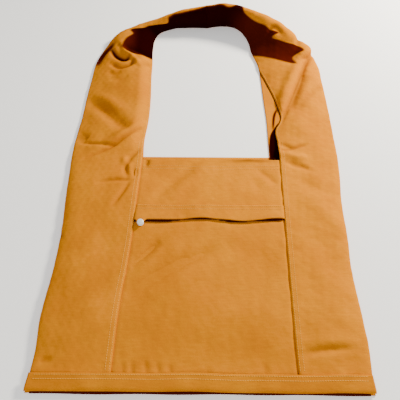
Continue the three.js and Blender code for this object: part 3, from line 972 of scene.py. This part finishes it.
# Stitches: short threads set end to end along each row.
def stitch_nodes(length, step, radius):
    """A tree that sets stitches along the rows it is given."""
    group = bpy.data.node_groups.new("stitches", "GeometryNodeTree")
    face = group.interface
    face.new_socket("Rows", in_out="INPUT", socket_type="NodeSocketGeometry")
    for label, value in (("Stitch length", length), ("Step", step), ("Thread radius", radius)):
        socket = face.new_socket(label, in_out="INPUT", socket_type="NodeSocketFloat")
        socket.default_value = value
    face.new_socket("Stitches", in_out="OUTPUT", socket_type="NodeSocketGeometry")
    given = group.nodes.new("NodeGroupInput")
    made = group.nodes.new("NodeGroupOutput")

    def add(kind, **settings):
        node = group.nodes.new(kind)
        for key, value in settings.items():
            setattr(node, key, value)
        return node

    points = add("GeometryNodeCurveToPoints", mode="LENGTH")
    ball = add("GeometryNodeMeshUVSphere")
    ball.inputs["Segments"].default_value = 6
    ball.inputs["Rings"].default_value = 4
    ball.inputs["Radius"].default_value = 1.0
    size = add("ShaderNodeCombineXYZ")
    shaped = add("GeometryNodeTransform")
    place = add("GeometryNodeInstanceOnPoints")
    realize = add("GeometryNodeRealizeInstances")
    finish = add("GeometryNodeSetMaterial")
    finish.inputs["Material"].default_value = SEWING_THREAD
    half = add("ShaderNodeMath", operation="MULTIPLY")
    half.inputs[1].default_value = 0.5
    link = group.links.new
    link(given.outputs["Rows"], points.inputs["Curve"])
    link(given.outputs["Step"], points.inputs["Length"])
    link(given.outputs["Stitch length"], half.inputs[0])
    link(given.outputs["Thread radius"], size.inputs["X"])
    link(given.outputs["Thread radius"], size.inputs["Y"])
    link(half.outputs[0], size.inputs["Z"])
    link(ball.outputs["Mesh"], shaped.inputs["Geometry"])
    link(size.outputs[0], shaped.inputs["Scale"])
    link(points.outputs["Points"], place.inputs["Points"])
    link(points.outputs["Rotation"], place.inputs["Rotation"])
    link(shaped.outputs[0], place.inputs["Instance"])
    link(place.outputs[0], realize.inputs[0])
    link(realize.outputs[0], finish.inputs["Geometry"])
    link(finish.outputs[0], made.inputs[0])
    return group


STITCHES = stitch_nodes(2.9 * MM, 3.5 * MM, 0.38 * MM)


def sew(name, rows):
    """The stitches of some rows as one plain mesh."""
    curve = bpy.data.curves.new(name + "_rows", "CURVE")
    curve.dimensions = "3D"
    for row in rows:
        run = curve.splines.new("POLY")
        run.points.add(len(row) - 1)
        for point, place in zip(run.points, row * MM + ORIGIN):
            point.co = (*place, 1)
    guide = bpy.data.objects.new(name + "_rows", curve)
    SCENE.collection.objects.link(guide)
    modifier = guide.modifiers.new("stitches", "NODES")
    modifier.node_group = STITCHES
    ready = guide.evaluated_get(bpy.context.evaluated_depsgraph_get())
    mesh = bpy.data.meshes.new_from_object(ready)
    mesh.name = name
    piece = bpy.data.objects.new(name, mesh)
    SCENE.collection.objects.link(piece)
    bpy.data.objects.remove(guide)
    bpy.data.curves.remove(curve)
    return piece


bend_across_neckline(sew("strip_stitches", stitch_rows["strips"]))
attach(sew("body_stitches", stitch_rows["body"]), "muff_body")
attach(sew("flap_stitches", stitch_rows["flap"]), "pocket_flap_body")


# Floor, lights and camera.
def build_stage():
    material, _, surface, _ = new_material("floor", 0.95, Base_Color=(0.97, 0.97, 0.97, 1),
                                           Emission_Color=(1, 1, 1, 1), Emission_Strength=0.30)
    mesh = bpy.data.meshes.new("floor")
    far, level = 6.0, -0.0004
    mesh.from_pydata([(-far, -far, level), (far, -far, level), (far, far, level),
                      (-far, far, level)], [], [(0, 1, 2, 3)])
    mesh.materials.append(material)
    floor = bpy.data.objects.new("floor", mesh)
    SCENE.collection.objects.link(floor)


def add_light(name, place, aim, size, watts, colour):
    light = bpy.data.lights.new(name, "AREA")
    light.shape = "DISK"
    light.size = size
    light.energy = watts
    light.color = colour
    lamp = bpy.data.objects.new(name, light)
    lamp.location = place
    lamp.rotation_euler = (Vector(aim) - Vector(place)).to_track_quat("-Z", "Y").to_euler()
    SCENE.collection.objects.link(lamp)


def build_lights():
    world = bpy.data.worlds.new("studio")
    SCENE.world = world
    world.use_nodes = True
    sky = world.node_tree.nodes["Background"].inputs
    sky["Color"].default_value = (1.0, 0.99, 0.97, 1)
    sky["Strength"].default_value = 0.51
    add_light("key", (1.05, 0.75, 0.72), (0.0, 0.0, 0.0), 0.28, 54, (1.0, 0.94, 0.80))
    add_light("front_fill", (-0.2, -1.4, 1.5), (0, -0.2, 0), 1.4, 14, (1.0, 0.96, 0.9))


CAMERA_LENS = 32.85
CAMERA_HIGH = 0.58
CAMERA_BEHIND_HEM = 0.009
CAMERA_DOWN = math.radians(61)
CAMERA_TURN = math.radians(0.45)


def add_camera():
    camera = bpy.data.cameras.new("camera")
    camera.lens = CAMERA_LENS
    camera.sensor_width = 36
    seen = bpy.data.objects.new("camera", camera)
    SCENE.collection.objects.link(seen)
    ahead = Vector((-math.sin(CAMERA_TURN) * math.cos(CAMERA_DOWN),
                    math.cos(CAMERA_TURN) * math.cos(CAMERA_DOWN), -math.sin(CAMERA_DOWN)))
    seen.location = (ORIGIN[0], ORIGIN[1] - CAMERA_BEHIND_HEM, CAMERA_HIGH)
    seen.rotation_euler = ahead.to_track_quat("-Z", "Y").to_euler()
    SCENE.camera = seen


build_stage()
build_lights()
add_camera()
